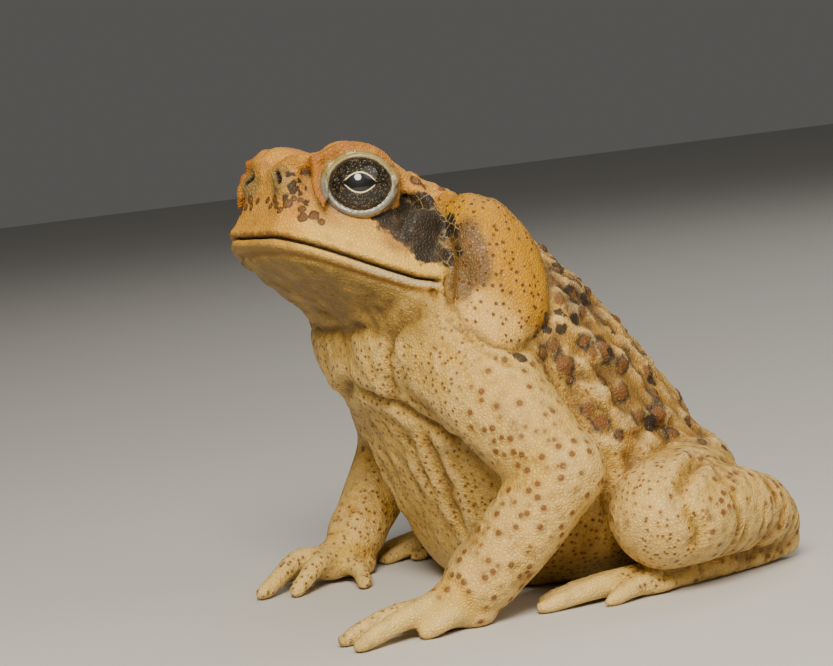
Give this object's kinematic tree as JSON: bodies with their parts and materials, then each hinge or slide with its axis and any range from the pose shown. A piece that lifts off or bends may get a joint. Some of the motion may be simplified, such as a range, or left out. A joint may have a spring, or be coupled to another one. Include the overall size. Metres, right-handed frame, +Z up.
{
  "type": "cane toad",
  "caption": "Life-size still model of a cane toad sitting upright on its hands, feet and belly, with parotoid glands, crested brows and warty back",
  "frame": {"origin": "on the floor under the centre of the toad's bounding box", "axes": "+Z up, the toad faces -Y, its left side is +X"},
  "size_m": [0.112, 0.1008, 0.0918],
  "materials": {
    "skin": "satin",
    "gland_skin": "satin",
    "ear_skin": "satin",
    "eye_gloss": "gloss"
  },
  "bodies": {
    "root": {"head": "skin", "lower_jaw": "skin", "torso": "skin", "eye_left": "eye_gloss", "tympanum_left": "ear_skin", "parotoid_gland_left": "gland_skin", "upper_arm_left": "skin", "forearm_left": "skin", "hand_left": "skin", "finger_1_left": "skin", "finger_2_left": "skin", "finger_3_left": "skin", "finger_4_left": "skin", "thigh_left": "skin", "shank_left": "skin", "foot_left": "skin", "toe_1_left": "skin", "toe_2_left": "skin", "toe_3_left": "skin", "toe_4_left": "skin", "toe_5_left": "skin", "eye_right": "eye_gloss", "tympanum_right": "ear_skin", "parotoid_gland_right": "gland_skin", "upper_arm_right": "skin", "forearm_right": "skin", "hand_right": "skin", "finger_1_right": "skin", "finger_2_right": "skin", "finger_3_right": "skin", "finger_4_right": "skin", "thigh_right": "skin", "shank_right": "skin", "foot_right": "skin", "toe_1_right": "skin", "toe_2_right": "skin", "toe_3_right": "skin", "toe_4_right": "skin", "toe_5_right": "skin"}
  },
  "joints": []
}
